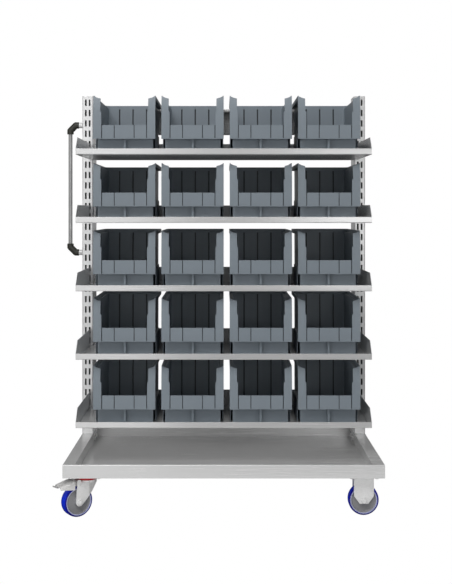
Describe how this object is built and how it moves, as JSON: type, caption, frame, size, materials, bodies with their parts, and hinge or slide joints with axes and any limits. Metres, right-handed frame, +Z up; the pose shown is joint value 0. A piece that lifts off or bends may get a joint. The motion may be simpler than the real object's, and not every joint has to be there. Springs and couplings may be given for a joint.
{
  "type": "mobile bin cart",
  "caption": "Wheeled stainless tray with slotted uprights, hook-in shelves of open-front bins, a push handle, braked swivel casters and fixed casters.",
  "frame": {"origin": "on the floor, under the middle of the cart's box, handle included", "axes": "+Z up, +X from the handle end to the fixed-caster end, +Y from the loading side to the uprights"},
  "size_m": [1.103, 0.6288, 1.4165],
  "materials": {
    "stainless": "satin stainless sheet",
    "bin_plastic": "moulded blue-grey",
    "fastener": "bright zinc",
    "grip_steel": "polished tube",
    "black_plastic": "matt black",
    "spacer_metal": "turned",
    "zinc_sheet": "bright zinc sheet",
    "red_seal": "red moulded ring",
    "grey_core": "grey moulding",
    "blue_tyre": "blue polyurethane",
    "pedal_sheet": "zinc sheet with a dark tread"
  },
  "bodies": {
    "frame": {"base_tray": "stainless", "upright_left": "stainless", "upright_right": "stainless", "top_crossbar": "stainless", "frame_bolts": "fastener", "shelf_1": "stainless", "shelf_2": "stainless", "shelf_3": "stainless", "shelf_4": "stainless", "shelf_5": "stainless", "handle_tube": "grip_steel", "handle_elbow_top": "black_plastic", "handle_elbow_bottom": "black_plastic", "handle_spacers": "spacer_metal", "handle_screws": "fastener", "caster_bolts": "fastener", "swivel_plate_fl": "zinc_sheet", "swivel_seal_fl": "red_seal", "swivel_plate_rl": "zinc_sheet", "swivel_seal_rl": "red_seal", "fixed_fork_fr": "zinc_sheet", "fixed_axle_fr": "fastener", "fixed_fork_rr": "zinc_sheet", "fixed_axle_rr": "fastener"},
    "swivel_fl": {"swivel_fork_fl": "zinc_sheet", "swivel_axle_fl": "fastener"},
    "wheel_fl": {"swivel_core_fl": "grey_core", "swivel_tyre_fl": "blue_tyre"},
    "pedal_fl": {"brake_pedal_fl": "pedal_sheet"},
    "swivel_rl": {"swivel_fork_rl": "zinc_sheet", "swivel_axle_rl": "fastener"},
    "wheel_rl": {"swivel_core_rl": "grey_core", "swivel_tyre_rl": "blue_tyre"},
    "pedal_rl": {"brake_pedal_rl": "pedal_sheet"},
    "wheel_fr": {"fixed_core_fr": "grey_core", "fixed_tyre_fr": "blue_tyre"},
    "wheel_rr": {"fixed_core_rr": "grey_core", "fixed_tyre_rr": "blue_tyre"},
    "body_bin_r1_c1": {"bin_r1_c1": "bin_plastic"},
    "body_bin_r1_c2": {"bin_r1_c2": "bin_plastic"},
    "body_bin_r1_c3": {"bin_r1_c3": "bin_plastic"},
    "body_bin_r1_c4": {"bin_r1_c4": "bin_plastic"},
    "body_bin_r2_c1": {"bin_r2_c1": "bin_plastic"},
    "body_bin_r2_c2": {"bin_r2_c2": "bin_plastic"},
    "body_bin_r2_c3": {"bin_r2_c3": "bin_plastic"},
    "body_bin_r2_c4": {"bin_r2_c4": "bin_plastic"},
    "body_bin_r3_c1": {"bin_r3_c1": "bin_plastic"},
    "body_bin_r3_c2": {"bin_r3_c2": "bin_plastic"},
    "body_bin_r3_c3": {"bin_r3_c3": "bin_plastic"},
    "body_bin_r3_c4": {"bin_r3_c4": "bin_plastic"},
    "body_bin_r4_c1": {"bin_r4_c1": "bin_plastic"},
    "body_bin_r4_c2": {"bin_r4_c2": "bin_plastic"},
    "body_bin_r4_c3": {"bin_r4_c3": "bin_plastic"},
    "body_bin_r4_c4": {"bin_r4_c4": "bin_plastic"},
    "body_bin_r5_c1": {"bin_r5_c1": "bin_plastic"},
    "body_bin_r5_c2": {"bin_r5_c2": "bin_plastic"},
    "body_bin_r5_c3": {"bin_r5_c3": "bin_plastic"},
    "body_bin_r5_c4": {"bin_r5_c4": "bin_plastic"}
  },
  "joints": [
    {"name": "caster_swivel_fl", "type": "hinge", "parent": "frame", "child": "swivel_fl", "pos_m": [-0.4165, -0.238, 0.118], "axis": [0, 0, 1], "continuous": true},
    {"name": "wheel_spin_fl", "type": "hinge", "parent": "swivel_fl", "child": "wheel_fl", "pos_m": [-0.448, -0.25925, 0.05], "axis": [0.5592, -0.829, 0], "continuous": true},
    {"name": "brake_press_fl", "type": "hinge", "parent": "swivel_fl", "child": "pedal_fl", "pos_m": [-0.44635, -0.25813, 0.107], "axis": [0.5592, -0.829, 0], "range_deg": [0, 11.5]},
    {"name": "caster_swivel_rl", "type": "hinge", "parent": "frame", "child": "swivel_rl", "pos_m": [-0.4165, 0.238, 0.118], "axis": [0, 0, 1], "continuous": true},
    {"name": "wheel_spin_rl", "type": "hinge", "parent": "swivel_rl", "child": "wheel_rl", "pos_m": [-0.448, 0.25925, 0.05], "axis": [-0.5592, -0.829, 0], "continuous": true},
    {"name": "brake_press_rl", "type": "hinge", "parent": "swivel_rl", "child": "pedal_rl", "pos_m": [-0.44635, 0.25813, 0.107], "axis": [-0.5592, -0.829, 0], "range_deg": [0, 11.5]},
    {"name": "wheel_spin_fr", "type": "hinge", "parent": "frame", "child": "wheel_fr", "pos_m": [0.489, -0.238, 0.05], "axis": [0, 1, 0], "continuous": true},
    {"name": "wheel_spin_rr", "type": "hinge", "parent": "frame", "child": "wheel_rr", "pos_m": [0.489, 0.238, 0.05], "axis": [0, 1, 0], "continuous": true},
    {"name": "lift_bin_r1_c1", "type": "slide", "parent": "frame", "child": "body_bin_r1_c1", "axis": [0, 0, 1], "range_m": [0, 0.022]},
    {"name": "lift_bin_r1_c2", "type": "slide", "parent": "frame", "child": "body_bin_r1_c2", "axis": [0, 0, 1], "range_m": [0, 0.022]},
    {"name": "lift_bin_r1_c3", "type": "slide", "parent": "frame", "child": "body_bin_r1_c3", "axis": [0, 0, 1], "range_m": [0, 0.022]},
    {"name": "lift_bin_r1_c4", "type": "slide", "parent": "frame", "child": "body_bin_r1_c4", "axis": [0, 0, 1], "range_m": [0, 0.022]},
    {"name": "lift_bin_r2_c1", "type": "slide", "parent": "frame", "child": "body_bin_r2_c1", "axis": [0, 0, 1], "range_m": [0, 0.022]},
    {"name": "lift_bin_r2_c2", "type": "slide", "parent": "frame", "child": "body_bin_r2_c2", "axis": [0, 0, 1], "range_m": [0, 0.022]},
    {"name": "lift_bin_r2_c3", "type": "slide", "parent": "frame", "child": "body_bin_r2_c3", "axis": [0, 0, 1], "range_m": [0, 0.022]},
    {"name": "lift_bin_r2_c4", "type": "slide", "parent": "frame", "child": "body_bin_r2_c4", "axis": [0, 0, 1], "range_m": [0, 0.022]},
    {"name": "lift_bin_r3_c1", "type": "slide", "parent": "frame", "child": "body_bin_r3_c1", "axis": [0, 0, 1], "range_m": [0, 0.022]},
    {"name": "lift_bin_r3_c2", "type": "slide", "parent": "frame", "child": "body_bin_r3_c2", "axis": [0, 0, 1], "range_m": [0, 0.022]},
    {"name": "lift_bin_r3_c3", "type": "slide", "parent": "frame", "child": "body_bin_r3_c3", "axis": [0, 0, 1], "range_m": [0, 0.022]},
    {"name": "lift_bin_r3_c4", "type": "slide", "parent": "frame", "child": "body_bin_r3_c4", "axis": [0, 0, 1], "range_m": [0, 0.022]},
    {"name": "lift_bin_r4_c1", "type": "slide", "parent": "frame", "child": "body_bin_r4_c1", "axis": [0, 0, 1], "range_m": [0, 0.022]},
    {"name": "lift_bin_r4_c2", "type": "slide", "parent": "frame", "child": "body_bin_r4_c2", "axis": [0, 0, 1], "range_m": [0, 0.022]},
    {"name": "lift_bin_r4_c3", "type": "slide", "parent": "frame", "child": "body_bin_r4_c3", "axis": [0, 0, 1], "range_m": [0, 0.022]},
    {"name": "lift_bin_r4_c4", "type": "slide", "parent": "frame", "child": "body_bin_r4_c4", "axis": [0, 0, 1], "range_m": [0, 0.022]},
    {"name": "lift_bin_r5_c1", "type": "slide", "parent": "frame", "child": "body_bin_r5_c1", "axis": [0, 0, 1], "range_m": [0, 0.23]},
    {"name": "lift_bin_r5_c2", "type": "slide", "parent": "frame", "child": "body_bin_r5_c2", "axis": [0, 0, 1], "range_m": [0, 0.23]},
    {"name": "lift_bin_r5_c3", "type": "slide", "parent": "frame", "child": "body_bin_r5_c3", "axis": [0, 0, 1], "range_m": [0, 0.23]},
    {"name": "lift_bin_r5_c4", "type": "slide", "parent": "frame", "child": "body_bin_r5_c4", "axis": [0, 0, 1], "range_m": [0, 0.23]}
  ]
}
